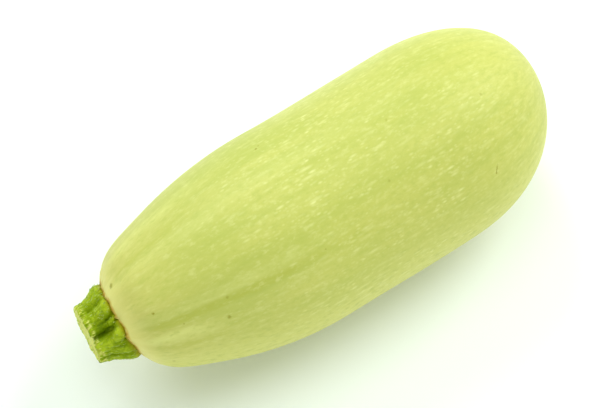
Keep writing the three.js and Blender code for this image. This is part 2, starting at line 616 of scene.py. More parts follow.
@dataclass(frozen=True)
class SkinFinish:
    """The satin skin: pale yellow-green, streaked along its ribs and covered with paler flecks, with painted
    bounce light along its near lower edge.
    """

    belly: Paint = paint(191, 193, 94)
    yellower: Paint = paint(201, 199, 102)
    greener: Paint = paint(182, 187, 85)
    seam: Paint = paint(180, 182, 66)
    crest: Paint = paint(218, 217, 128)
    near_stem: Paint = paint(205, 199, 108)
    blossom_end: Paint = paint(205, 203, 104)
    # painted bounce light: the near lower edge is painted paler, as if lit by the bright floor
    underside_bounce_light: Paint = paint(213, 211, 114)
    fleck: Paint = paint(227, 225, 152)
    lip: Paint = paint(232, 222, 132)
    rust: Paint = paint(206, 160, 26)
    crevice: Paint = paint(160, 124, 0)
    cork: Paint = paint(160, 132, 78)
    cork_dark: Paint = paint(104, 78, 44)
    flaw: Paint = paint(146, 137, 0)
    seams: tuple[SkinLine, ...] = (
        SkinLine(20.5, 52, 0.45),
        SkinLine(55, 45, 0.3),
        SkinLine(90, 80, 0.6),
        SkinLine(161, 75, 0.6),
        SkinLine(230, 85, 0.7),
        SkinLine(297, 40, 0.5),
        SkinLine(319, 118, 0.65),
    )
    crests: tuple[SkinLine, ...] = (
        SkinLine(11, 165, 0.2, 5, 0),
        SkinLine(38, 75, 0.55, 6, 0),
        SkinLine(72, 105, 0.75, 9, 0),
        SkinLine(56, 260, 0.4, 10, 100),
        SkinLine(126, 70, 0.45, 7, 0),
        SkinLine(196, 70, 0.45, 7, 0),
        SkinLine(255, 60, 0.45, 6, 0),
        SkinLine(306, 40, 0.9, 6, 0),
        SkinLine(326, 105, 0.28, 4, 0),
    )
    streaks: tuple[Triple, ...] = ((8, 0.45, 0.3), (3.6, 0.3, 0.7), (1.3, 0.15, 0.9))  # width, amount, shift
    # Each kind's length and width in millimetres, its edge in cells, its empty share and its strength.
    fleck_kinds: tuple[tuple[float, ...], ...] = (
        (10.0, 2.1, 0.50, 0.28, 0.58),
        (6.0, 1.9, 0.43, 0.22, 0.8),
        (3.6, 1.7, 0.42, 0.10, 0.75),
        (2.2, 1.3, 0.44, 0.0, 0.48),
    )
    # the angle round the fruit where the painted bounce light is strongest
    bounce_light_angle: float = -103
    grain_radius: float = 42.5 * MM  # the belly's, which the grain is wrapped round
    line_fade_in: float = 12 * MM
    shake: float = 0.8 * MM  # how far the flaws' edges are shaken
    roughness: float = 0.5

    def material(self, scar: Vector, length: float, marks: list[tuple[Vector, Mark]]) -> bpy.types.Material:
        """Mixes the skin.

        Args:
            scar: The middle of the blossom scar.
            length: The length of the skin from the stem's lip to the scar.
            marks: The flaws, each with its place on the skin.

        Returns:
            The material.
        """
        mix = Recipe("courgette skin")
        grain = mix.read("grain")
        along = mix.axis(grain, "X")
        colour = self._ground(mix, grain, along, length)
        flecks = self._flecks(mix, grain, along)
        colour = mix.tint(colour, self.fleck, flecks)
        colour = self._lip(mix, colour, along, grain)
        colour = mix.tint(colour, self.flaw, self._flaws(mix, marks))
        colour, corky = self._scar(mix, colour, scar)
        fine = mix.cloud(grain, (1.2, 0.7, 0.7), 3.0)
        height = mix.sum(mix.product(fine, 0.5), mix.product(flecks, 0.5))
        satin = mix.ramp(fine, 0.3, 0.7, self.roughness - 0.04, self.roughness + 0.04)
        roughness = mix.sum(satin, mix.product(corky, 0.35))
        mix.settle(
            Specular_IOR_Level=0.35,
            Subsurface_Weight=0.12,
            Subsurface_Radius=(1.0, 0.8, 0.3),
            Subsurface_Scale=3 * MM,
        )
        return mix.finish(colour, roughness, height, 0.03 * MM)

    def _ground(self, mix: Recipe, grain: Socket, along: Socket, length: float) -> Socket:
        """The colour under the flecks, with its slow patches, its soft streaks along the ribs and painted
        bounce light along the near lower edge.

        Args:
            mix: The material being mixed.
            grain: The grain that the skin carries.
            along: How far along the skin a point is.
            length: The skin's length.

        Returns:
            The colour.
        """
        colour = mix.wash(self.belly, self.near_stem, along, 4 * MM, 46 * MM, 1.0, 0.0)
        colour = mix.wash(colour, self.blossom_end, along, length * 0.5, length)
        patches = mix.cloud(grain, (55, 17, 17), 1.0)
        colour = mix.wash(colour, self.yellower, patches, 0.45, 0.75, 0.0, 0.8)
        colour = mix.wash(colour, self.greener, patches, 0.5, 0.25, 0.0, 0.6)
        off_stem = mix.ramp(along, 5 * MM, 80 * MM, 0.35, 1.0)
        for width, amount, offset in self.streaks:
            streaks = mix.cloud(mix.moved(grain, (offset, offset, 0)), (width * 9, width, width), 1.0)
            for tone, high in ((self.greener, 0.74), (self.yellower, 0.28)):
                streaky = mix.product(mix.ramp(streaks, 0.5, high, 0.0, amount), off_stem)
                colour = mix.tint(colour, tone, streaky)
        colour = mix.tint(colour, self.crest, self._lines(mix, grain, along, self.crests))
        colour = mix.tint(colour, self.seam, self._lines(mix, grain, along, self.seams))
        # painted bounce light: paler towards the near lower edge
        off_bounce_light = self._off_line(mix, grain, self.bounce_light_angle)
        colour = mix.wash(colour, self.underside_bounce_light, off_bounce_light, 8 * MM, 32 * MM, 0.85, 0.0)
        mottle = mix.cloud(grain, (3.8, 2.2, 2.2), 3.0, 0.65)
        colour = mix.wash(colour, self.greener, mottle, 0.5, 0.3, 0.0, 0.5)
        return mix.wash(colour, self.fleck, mottle, 0.5, 0.8, 0.0, 0.35)

    def _off_line(self, mix: Recipe, grain: Socket, angle: float) -> Socket:
        """How far a place on the skin is from the line along the fruit at an angle round it."""
        flat = mix.node("ShaderNodeVectorMath", {0: grain, 1: (0, 1, 1)}, operation="MULTIPLY")
        return mix.distance(flat.outputs["Vector"], wrapped(0, self.grain_radius, angle))

    def _lines(self, mix: Recipe, grain: Socket, along: Socket, lines: tuple[SkinLine, ...]) -> Socket:
        """How much shows of the lines along the skin, which wander a little and are broken in places.

        Args:
            mix: The material being mixed.
            grain: The grain that the skin carries.
            along: How far along the skin a point is.
            lines: The lines.

        Returns:
            How much shows, from 0 to 1.
        """
        wander = mix.cloud(grain, (22, 60, 60), 2.0)
        aside = mix.ramp(wander, 0.3, 0.7, -1.2 * MM, 1.2 * MM)
        broken = mix.cloud(mix.moved(grain, (0.5, 0, 0)), (14, 9, 9), 1.0)
        amount: object = 0.0
        for line in lines:
            start, reach, half_width = line.start * MM, line.reach * MM, line.half_width * MM
            faded_in = mix.ramp(along, start - self.line_fade_in, start)
            fading = mix.product(faded_in, mix.ramp(along, reach * 0.5, reach, line.strength, 0.0))
            off = mix.sum(self._off_line(mix, grain, line.angle), aside)
            near = mix.ramp(off, half_width * 0.18, half_width, 1.0, 0.0)
            amount = mix.larger(amount, mix.product(near, fading))
        return mix.product(amount, mix.ramp(broken, 0.3, 0.6, 0.45, 1.0))

    def _flecks(self, mix: Recipe, grain: Socket, along: Socket) -> Socket:
        """How much of the fleck colour shows: rare long flecks, clusters of short ones, faint dots.

        Args:
            mix: The material being mixed.
            grain: The grain that the skin carries.
            along: How far along the skin a point is.

        Returns:
            How much shows, from 0 to 1.
        """
        amount: object = 0.0
        for index, (length, width, edge, empty, strength) in enumerate(self.fleck_kinds):
            place = mix.moved(grain, (0.31 * index, 0.17 * index, 0.07 * index))
            flecks = mix.specks(place, (length, width, width), (0.0, edge), empty)
            amount = mix.larger(amount, mix.product(flecks, strength))
        clusters = mix.cloud(grain, (16, 9, 9), 2.0)
        rows = mix.cloud(mix.moved(grain, (0.2, 0.4, 0)), (75, 5, 5), 1.0)
        for value, low, high, start, end in (
            (clusters, 0.3, 0.65, 0.55, 1.0),
            (rows, 0.35, 0.62, 0.5, 1.0),
            (along, 140 * MM, 200 * MM, 1.0, 0.5),
            (along, 25 * MM, 90 * MM, 0.3, 1.0),
        ):
            amount = mix.product(amount, mix.ramp(value, low, high, start, end))
        return amount

    def _flaws(self, mix: Recipe, marks: list[tuple[Vector, Mark]]) -> Socket:
        """How much of the flaw colour shows at the small marks, which have uneven edges.

        Args:
            mix: The material being mixed.
            marks: The flaws, each with its place on the skin.

        Returns:
            How much shows, from 0 to 1.
        """
        place = mix.place()
        inputs = {"Vector": mix.stretched(place, (0.8, 0.8, 0.8)), "Scale": 1.0}
        wander = mix.node("ShaderNodeTexNoise", inputs).outputs["Color"]
        shaken = mix.node("ShaderNodeVectorMath", {0: wander, "Scale": self.shake}, operation="SCALE")
        place = mix.moved(mix.moved(place, shaken.outputs["Vector"]), (-self.shake / 2,) * 3)
        amount: object = 0.0
        for centre, mark in marks:
            radius = mark.radius * MM
            off = mix.distance(place, centre)
            amount = mix.larger(amount, mix.ramp(off, radius * 0.25, radius * 1.15, mark.strength, 0.0))
        return amount

    def _lip(self, mix: Recipe, colour: Socket, along: Socket, grain: Socket) -> Socket:
        """The paler lip round the stem, rusty in places, and the dark crevice where it meets the stem.

        Args:
            mix: The material being mixed.
            colour: The colour so far.
            along: How far along the skin a point is.
            grain: The grain that the skin carries.

        Returns:
            The colour with the lip in it.
        """
        colour = mix.wash(colour, self.lip, along, 0.8 * MM, 11 * MM, 0.85, 0.0)
        uneven = mix.cloud(grain, (2.5, 6, 6), 2.0)
        near = mix.ramp(along, 0.3 * MM, 1.5 * MM, 1.0, 0.0)
        colour = mix.tint(colour, self.rust, mix.product(near, mix.ramp(uneven, 0.36, 0.6, 0.3, 0.8)))
        reach = mix.sum(along, mix.ramp(uneven, 0.3, 0.7, 0.12 * MM, -0.12 * MM))
        return mix.wash(colour, self.crevice, reach, 0.0, 0.35 * MM, 0.85, 0.0)

    def _scar(self, mix: Recipe, colour: Socket, scar: Vector) -> tuple[Socket, Socket]:
        """The corky scar that the blossom leaves.

        Args:
            mix: The material being mixed.
            colour: The colour so far.
            scar: The middle of the scar.

        Returns:
            The colour with the scar in it, and 1 on the scar and 0 beside it.
        """
        place = mix.place()
        uneven = mix.cloud(place, (2.2, 2.2, 2.2), 3.0)
        reach = mix.sum(mix.distance(place, scar), mix.ramp(uneven, 0.2, 0.8, -1.2 * MM, 1.2 * MM))
        corky = mix.ramp(reach, 6.2 * MM, 8.0 * MM, 1.0, 0.0)
        grit = mix.cloud(place, (0.7, 0.7, 0.7), 4.0, 0.7)
        cork = mix.wash(self.cork, self.cork_dark, grit, 0.42, 0.7, 0.0, 0.7)
        outside = mix.ramp(reach, 2.6 * MM, 3.8 * MM, 1.0, 0.0)
        hollow = mix.product(mix.ramp(reach, 1.3 * MM, 2.2 * MM), outside)
        cork = mix.tint(cork, self.cork_dark, mix.product(hollow, 0.8))
        cork = mix.wash(cork, self.blossom_end, reach, 4.2 * MM, 6.8 * MM, 0.0, 0.6)
        return mix.tint(colour, cork, corky), corky


@dataclass(frozen=True)
class StemFinish:
    """The stem's flesh: bright green, with painted highlights on its ridges, painted shade in its grooves,
    and pale where it is cut.
    """

    green: Paint = paint(132, 154, 1)
    # pale fibres, and the painted highlights on the ridges and knobs
    pale_and_highlight: Paint = paint(188, 204, 46)
    # dark fibres, and the painted shade in the grooves and between the knobs
    dark_and_shade: Paint = paint(106, 130, 1)
    foot: Paint = paint(148, 132, 6)
    cut: Paint = paint(228, 227, 122)
    cut_green: Paint = paint(180, 198, 66)
    fibre: Paint = paint(170, 134, 84)
    roughness: float = 0.42

    def material(self) -> bpy.types.Material:
        """Mixes the stem's flesh from the heights and places that the stem carries, painting shade into the
        grooves and highlights onto the ridges and knobs.

        Returns:
            The material.
        """
        mix = Recipe("stem flesh")
        place = mix.place()
        form = mix.read("form")
        ridge, along, inside = (mix.axis(form, name) for name in "XYZ")
        fibres = mix.cloud(place, (5, 0.8, 0.8), 3.0, 0.6)
        patches = mix.cloud(place, (3, 2.2, 2.2), 3.0, 0.6)
        grit = mix.cloud(place, (1.0, 0.65, 0.65), 2.0, 0.7)
        # the ridge height, with soft patches, sets the painted shade in the grooves and the painted highlight
        # on the ridges
        height = mix.sum(ridge, mix.ramp(patches, 0.25, 0.75, -0.22, 0.22))
        raised = mix.ramp(ridge, 0.25, 0.65)
        # painted shade and highlight: darker down in the grooves, paler up on the ridges
        colour = mix.wash(self.dark_and_shade, self.green, height, 0.0, 0.5)
        colour = mix.wash(colour, self.pale_and_highlight, height, 0.66, 1.15, 0.0, 0.7)
        colour = mix.tint(colour, self.pale_and_highlight, mix.product(mix.ramp(fibres, 0.52, 0.74, 0.0, 0.6), raised))
        colour = mix.wash(colour, self.dark_and_shade, fibres, 0.44, 0.26, 0.0, 0.4)
        # painted highlights on the small knobs of the ridges, and painted shade between the knobs
        colour = mix.tint(colour, self.pale_and_highlight, mix.product(mix.ramp(grit, 0.54, 0.7, 0.0, 0.4), raised))
        colour = mix.wash(colour, self.dark_and_shade, grit, 0.45, 0.3, 0.0, 0.35)
        colour = mix.wash(colour, self.foot, along, 0.26, 0.0, 0.0, 0.85)
        colour = self._cut(mix, place, colour, along, inside)
        roughness = mix.ramp(fibres, 0.3, 0.7, self.roughness - 0.06, self.roughness + 0.1)
        mix.settle(
            Specular_IOR_Level=0.08,
            Subsurface_Weight=0.1,
            Subsurface_Radius=(0.7, 1.0, 0.2),
            Subsurface_Scale=2 * MM,
        )
        bumps = mix.sum(mix.product(fibres, 0.5), mix.product(grit, 0.5))
        return mix.finish(colour, roughness, bumps, 0.16 * MM)

    def _cut(self, mix: Recipe, place: Socket, colour: Socket, along: Socket, inside: Socket) -> Socket:
        """The pale cut with its fibre ends, and the browning at its edge.

        Args:
            mix: The material being mixed.
            place: The place on the stem.
            colour: The colour so far.
            along: The share of the stem's length.
            inside: How far inside the cut's edge a point is.

        Returns:
            The colour with the cut in it.
        """
        ends = mix.specks(place, (3, 1.5, 1.5), (0.1, 0.4), 0.2)
        ring = mix.product(mix.ramp(inside, 0.12, 0.2), mix.ramp(inside, 0.5, 0.34))
        mottle = mix.cloud(place, (1.8, 1.2, 1.2), 2.0, 0.6)
        rim = mix.ramp(inside, 0.08, 0.4, 1.0, 0.3)
        flesh = mix.tint(self.cut, self.cut_green, mix.product(mix.ramp(mottle, 0.42, 0.62), rim))
        flesh = mix.tint(flesh, self.fibre, mix.product(mix.product(ends, ring), 0.8))
        at_edge = mix.ramp(along, 0.86, 0.97)
        reach = mix.sum(inside, mix.product(mix.ramp(mottle, 0.35, 0.65, 0.045, -0.03), at_edge))
        colour = mix.wash(colour, flesh, reach, 0.0, 0.07)
        blotches = mix.cloud(place, (1.2, 1.2, 1.2), 2.0)
        edge = mix.product(mix.ramp(along, 0.93, 1.0), mix.ramp(inside, 0.14, 0.04))
        return mix.tint(colour, self.fibre, mix.product(edge, mix.ramp(blotches, 0.5, 0.66, 0.0, 0.25)))


@dataclass(frozen=True)
class BristleFinish:
    """The stem's short bristles: pale and a little glassy."""

    root: Paint = paint(146, 170, 36)
    tip: Paint = paint(198, 210, 100)

    def material(self) -> bpy.types.Material:
        """Mixes the bristles, paler in places along the stem.

        Returns:
            The material.
        """
        mix = Recipe("stem bristles")
        patches = mix.cloud(mix.place(), (1.5, 1.5, 1.5), 1.0)
        colour = mix.wash(self.root, self.tip, patches, 0.35, 0.65)
        return mix.finish(colour, 0.25, patches, 0.01 * MM)


# ---- The fruit ----


@dataclass(frozen=True)
class RoundedEnd:
    """An end of the fruit that rounds off from the belly to a virtual tip."""

    length: float
    fullness: float

    def width_share(self, distance: float) -> float:
        """The radius at a distance from the tip, as a share of the belly's."""
        share = share_between(self.length - distance, 0, self.length)
        return (1 - share**self.fullness) ** (1 / self.fullness)

    def turn_at_distance(self, distance: float) -> float:
        """The outline's turn at a distance from the tip, 0 at the tip and a quarter at the belly."""
        return math.acos((1 - distance / self.length) ** (self.fullness / 2))

    def distances(self, first_turn: float, count: int) -> list[float]:
        """Distances of rings from the tip, evenly spread over the outline's turn."""
        turns = [blend_of(first_turn, math.pi / 2, (i + 1) / count) for i in range(count)]
        return [self.length * (1 - math.cos(one) ** (2 / self.fullness)) for one in turns]


@dataclass(frozen=True)
class Groove:
    """A kind of soft groove between two ribs, deepest near the stem."""

    depth: float
    half_width: float
    reach: float

    def sink(self, x: float, aside: float) -> float:
        """How deep it is at a place along the fruit and at an angle aside from its middle."""
        return self.depth * share_between(self.reach - x, 0, self.reach) ** 1.5 * bell(aside, self.half_width)

    def mean(self, x: float) -> float:
        """Its mean depth over a whole turn."""
        return self.sink(x, 0) * self.half_width * math.sqrt(math.pi) / 360


@dataclass
class Fruit:
    """The fruit: a straight belly between two rounded ends, with ribs that fade from the stem on."""

    length: float = 208 * MM
    belly_radius: float = 42.5 * MM
    axis_y: float = -0.311 * MM
    stem_end: RoundedEnd = RoundedEnd(89 * MM, 1.88)
    blossom_end: RoundedEnd = RoundedEnd(57 * MM, 2.16)
    shoulder: Triple = (16 * MM, 12 * MM, 1.8 * MM)  # place, spread and rise
    waist: Triple = (100 * MM, 22 * MM, 0.4 * MM)  # place, spread and depth
    stem_swing: Triple = (4.6 * MM, 130 * MM, 3)  # aside at the tip, reach and power
    blossom_swing: Triple = (5.7 * MM, 48 * MM, 5.8)  # aside at the tip, start and power
    seat_lean: tuple[float, float] = (0.17, -0.075)  # upwards and to the side
    lean_reach: float = 60 * MM  # where the lean has gone
    rib_grooves: tuple[float, ...] = (20, 90, 161, 230, 317)
    main_groove: Groove = Groove(1.5 * MM, 13, 95 * MM)
    faint_groove: Groove = Groove(0.6 * MM, 9, 65 * MM)
    grooves_deepest: float = 20 * MM
    rib_span: float = 2.4 * MM  # more than the deepest groove
    seat_floor: float = 11 * MM
    lip_x: float = 10 * MM
    seat_radius: float = 17 * MM
    lip_radius: float = 17.4 * MM
    lip_blend: float = 5 * MM
    lip_wave: float = 1.2 * MM
    lip_gap: float = 0.05 * MM
    flat_depth: float = 0.6 * MM
    # Each ring's radius and its distance from the tip, in millimetres.
    scar_rings: tuple[tuple[float, float], ...] = ((7.6, 0.9), (5.6, 1.4), (4.2, 1.6), (3.5, 1.0), (1.8, 0.9))
    sides: int = 72
    end_rings: int = 18
    belly_rings: int = 16
    grain_stations: int = 400
    finish: SkinFinish = field(default_factory=SkinFinish)
    marks: tuple[Mark, ...] = (
        Mark(13.9, 17.6, 1.3, 0.75),
        Mark(21.5, -28, 0.65, 0.85),
        Mark(28.6, -45, 0.4, 0.6),
        Mark(45.4, -39, 0.8, 0.42),
        Mark(43, -52, 0.95, 0.7),
        Mark(19.4, -84, 0.8, 0.5),
        Mark(85.5, 31, 0.65, 0.75),
        Mark(87.1, 32.4, 0.45, 0.5),
        Mark(85.8, -40, 0.5, 0.45),
        Mark(120.6, -26, 0.7, 0.35),
        Mark(132.8, 2.5, 0.7, 0.3),
        Mark(171, -13, 0.8, 0.35),
        Mark(161.7, -55.4, 0.6, 0.8),
        Mark(162.0, -54.6, 0.55, 0.8),
        Mark(162.3, -53.8, 0.5, 0.7),
        Mark(162.7, -53.0, 0.5, 0.65),
        Mark(163.1, -52.2, 0.45, 0.55),
        Mark(163.5, -51.4, 0.4, 0.4),
    )

    def __post_init__(self) -> None:
        """Finds where the fruit starts in the frame, and how high its axis lies."""
        tip_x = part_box("fruit")[1].x + self.scar_rings[0][1] * MM
        self.start_x = tip_x - self.length
        self.axis_z = self.belly_radius - self.flat_depth

    def radius(self, x: float) -> float:
        """The skin's mean distance from the axis at a place along the fruit.

        Args:
            x: The place along the fruit.

        Returns:
            The distance.
        """
        stem_share = self.stem_end.width_share(x)
        blossom_share = self.blossom_end.width_share(self.length - x)
        shoulder_x, shoulder_spread, rise = self.shoulder
        waist_x, waist_spread, depth = self.waist
        rise *= bell(x - shoulder_x, shoulder_spread)
        depth *= bell(x - waist_x, waist_spread)
        return self.belly_radius * stem_share * blossom_share + rise - depth

    def swing(self, x: float) -> float:
        """How far the axis has swung towards +Y at a place along the fruit.

        Args:
            x: The place along the fruit.

        Returns:
            How far it has swung.
        """
        stem_y, stem_from, stem_power = self.stem_swing
        blossom_y, blossom_from, blossom_power = self.blossom_swing
        stem_side = stem_y * share_between(stem_from - x, 0, stem_from) ** stem_power
        return stem_side + blossom_y * share_between(x, blossom_from, self.length) ** blossom_power

    def lean(self, x: float) -> tuple[float, float]:
        """How far the section at a place leans: all of it at the seat, none in the belly."""
        share = share_between(self.lean_reach - x, 0, self.lean_reach - self.seat_floor) ** 2
        return self.seat_lean[0] * share, self.seat_lean[1] * share

    def ring(self, x: float, radius: float) -> Ring:
        """A cross-section of the fruit."""
        up, side = self.lean(x)
        return Ring(self.start_x + x, radius, self.axis_y + self.swing(x), self.axis_z, up, side)

    def station(self, point: Vector) -> tuple[float, float, float]:
        """Where a point is on the fruit.

        Args:
            point: A place in the frame.

        Returns:
            Its place along the fruit, its distance from the axis, and its angle round it.
        """
        x = point.x - self.start_x
        for _ in range(3):
            up, side = self.lean(x)
            aside = point.y - self.axis_y - self.swing(x)
            above = point.z - self.axis_z
            x = point.x - self.start_x + up * above + side * aside
        return x, math.hypot(aside, above), math.degrees(math.atan2(aside, above))

    def groove_sink(self, x: float, angle: float) -> float:
        """How deep the grooves between the ribs are at a place on the skin.

        Args:
            x: The place along the fruit.
            angle: The angle round the fruit.

        Returns:
            The depth.
        """
        sink = 0.0
        for i, middle in enumerate(self.rib_grooves):
            following = self.rib_grooves[(i + 1) % len(self.rib_grooves)]
            between = middle + turn(middle, following) / 2
            sink += self.main_groove.sink(x, turn(middle, angle))
            sink += self.faint_groove.sink(x, turn(between, angle))
        return sink * smooth_share(x, self.lip_x, self.grooves_deepest)

    def mean_sink(self, x: float) -> float:
        """The grooves' mean depth at a place along the fruit."""
        mean = len(self.rib_grooves) * (self.main_groove.mean(x) + self.faint_groove.mean(x))
        return mean * smooth_share(x, self.lip_x, self.grooves_deepest)

    def build(self, stem: "Stem") -> bpy.types.Object:
        """Makes the fruit round the foot of its stem.

        Args:
            stem: The stem, with its piece finished.

        Returns:
            The fruit.
        """
        seat = self.ring(self.seat_floor, self.seat_radius)
        work = Workpiece("ribbed_fruit", self.sides, seat, capped=True)
        work.grow(self._rings())
        face_outwards()
        work.subdivide(2)
        self._raise_ribs(work)
        self._wave_lip(work, stem)
        work.hug(stem.piece, self.lip_gap, self._near_lip)
        work.flatten(0)
        self._record_grain(work, stem)
        work.shade_smooth(60)
        self._dress(work.piece)
        return work.piece

    def _rings(self) -> Iterable[Ring]:
        """The rings from the seat's lip, over the belly, to the middle of the blossom scar.

        Returns:
            The rings in order.
        """
        yield self.ring(self.lip_x + 0.25 * MM, self.seat_radius + 0.05 * MM)
        yield self.ring(self.lip_x, self.lip_radius)
        lip_turn = self.stem_end.turn_at_distance(self.lip_x)
        scar_share = self.scar_rings[0][0] * MM / self.belly_radius
        scar_turn = math.asin(scar_share ** (self.blossom_end.fullness / 2))
        stem_xs = self.stem_end.distances(lip_turn, self.end_rings)
        blossom_xs = [self.length - one for one in self.blossom_end.distances(scar_turn, self.end_rings)]
        shares = [(i + 1) / (self.belly_rings + 1) for i in range(self.belly_rings)]
        belly_xs = [blend_of(stem_xs[-1], blossom_xs[-1], share) for share in shares]
        for x in [*stem_xs, *belly_xs, *reversed(blossom_xs)]:
            yield self.ring(x, self.radius(x))
        for radius, sink in self.scar_rings:
            yield self.ring(self.length - sink * MM, radius * MM)

    def _raise_ribs(self, work: Workpiece) -> None:
        """Raises the skin by the grooves' mean depth, then presses the grooves in.

        Args:
            work: The piece on the bench.
        """

        def swell(point: Vector) -> float:
            """How far the skin rises at a point."""
            return self.mean_sink(self.station(point)[0]) / self.rib_span

        def sink(point: Vector) -> float:
            """How far the grooves sink at a point."""
            x, _, angle = self.station(point)
            return self.groove_sink(x, angle) / self.rib_span

        work.press("ribs", self.rib_span, swell)
        work.press("grooves between ribs", -self.rib_span, sink)

    def _near_lip(self, point: Vector) -> float:
        """How near a point is to the lip of the seat: 1 on it, falling to 0 up the shoulder.

        Args:
            point: A place in the frame.

        Returns:
            The nearness.
        """
        x, radius, _ = self.station(point)
        if x > self.stem_end.length or radius < self.seat_radius * 0.9:
            return 0
        return bell(max(radius - self.lip_radius, 0), self.lip_blend)

    def _wave_lip(self, work: Workpiece, stem: "Stem") -> None:
        """Pushes the lip back under the stem's swollen feet and lets it come forward between them.

        Args:
            work: The piece on the bench.
            stem: The stem, with its piece finished.
        """
        span = 2 * self.lip_wave

        def back(point: Vector) -> float:
            """How far a point near the lip is pushed back."""
            nearness = self._near_lip(point)
            if nearness <= NOTICEABLE:
                return 0
            return nearness * (self.lip_wave + stem.push(self.station(point)[2])) / span

        def forth(point: Vector) -> float:
            """How far a point near the lip comes forward."""
            return self._near_lip(point) / 2

        work.press("lip pushed back", span, back, Direction.TOWARDS_BLOSSOM)
        work.press("lip brought forward", -span, forth, Direction.TOWARDS_BLOSSOM)

    def _record_grain(self, work: Workpiece, stem: "Stem") -> None:
        """Writes each point's way along the skin and its place round the fruit.

        Args:
            work: The piece on the bench.
            stem: The stem, with its piece finished.
        """
        stations = np.linspace(self.lip_x, self.length - 0.5 * MM, self.grain_stations)
        radii = np.array([self.radius(x) for x in stations])
        steps = np.hypot(np.diff(stations), np.diff(radii))
        ways = np.concatenate(([0.0], np.cumsum(steps)))
        self.skin_length = float(ways[-1])

        def grain(point: Vector) -> Vector:
            """A point's way along the skin and its place round it."""
            x, _, angle = self.station(point)
            nearness = self._near_lip(point)
            if nearness > NOTICEABLE:
                x -= stem.push(angle) * nearness
            return wrapped(float(np.interp(x, stations, ways)), self.belly_radius, angle)

        work.record("grain", grain)

    def _dress(self, piece: bpy.types.Object) -> None:
        """Gives the fruit its skin, in place of the plain solid.

        Args:
            piece: The finished fruit.
        """
        scar_x = self.length - self.scar_rings[-1][1] * MM
        scar = self.ring(scar_x, 0).centre
        marks = [(self._on_skin(piece, mark), mark) for mark in self.marks]
        piece.data.materials.append(self.finish.material(scar, self.skin_length, marks))
        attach(piece, "root")
        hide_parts("fruit")

    def _on_skin(self, piece: bpy.types.Object, mark: Mark) -> Vector:
        """A mark's place on the finished skin.

        Args:
            piece: The finished fruit.
            mark: The mark.

        Returns:
            Its place.
        """
        x = mark.x * MM
        ring = self.ring(x, 0)
        met = ring.look_in(piece, mark.angle, 2 * self.belly_radius)
        return met[0] if met else ring.centre + ring.outward(mark.angle) * self.radius(x)


# ---- The stem ----


@dataclass(frozen=True)
class Ridge:
    """One of the stem's rounded ridges, which may twist round it and fall away towards the cut."""

    angle: float
    half_width: float
    rise: float
    twist: float = 0
    fall: float = 0


@dataclass(frozen=True)
class Dimple:
    """A round hollow on the stem, or a bump where it is less than 0 deep."""

    angle: float
    half_width: float
    share: float
    reach: float
    depth: float

    def amount(self, share: float, angle: float) -> float:
        """How deep it is at a place on the stem, in millimetres."""
        aside = bell(turn(self.angle, angle), self.half_width)
        return self.depth * aside * bell(share - self.share, self.reach)


ALONG_STEM_MM = 15.2  # about the stem's length
ROUND_STEM_MM = 0.25  # about a degree round the stem


@dataclass(frozen=True)
class Crease:
    """A narrow fold in the stem that runs from one place, a share and an angle, to another."""

    start: tuple[float, float]
    end: tuple[float, float]
    half_width: float
    depth: float
    left_at_end: float = 0.0

    def amount(self, share: float, angle: float) -> float:
        """How deep it is at a place on the stem, in millimetres.

        Args:
            share: The share of the stem's length.
            angle: The angle round the stem.

        Returns:
            The depth.
        """
        run = self._laid_flat(self.end[0], self.end[1])
        place = self._laid_flat(share, angle)
        passed = min(max(place.dot(run) / run.length_squared, 0.0), 1.0)
        depth = blend_of(self.depth, self.depth * self.left_at_end, passed)
        return depth * bell((place - run * passed).length, self.half_width)

    def _laid_flat(self, share: float, angle: float) -> Vector:
        """A place on the stem as seen from the fold's start, in millimetres along and round it."""
        return Vector(((share - self.start[0]) * ALONG_STEM_MM, turn(self.start[1], angle) * ROUND_STEM_MM))


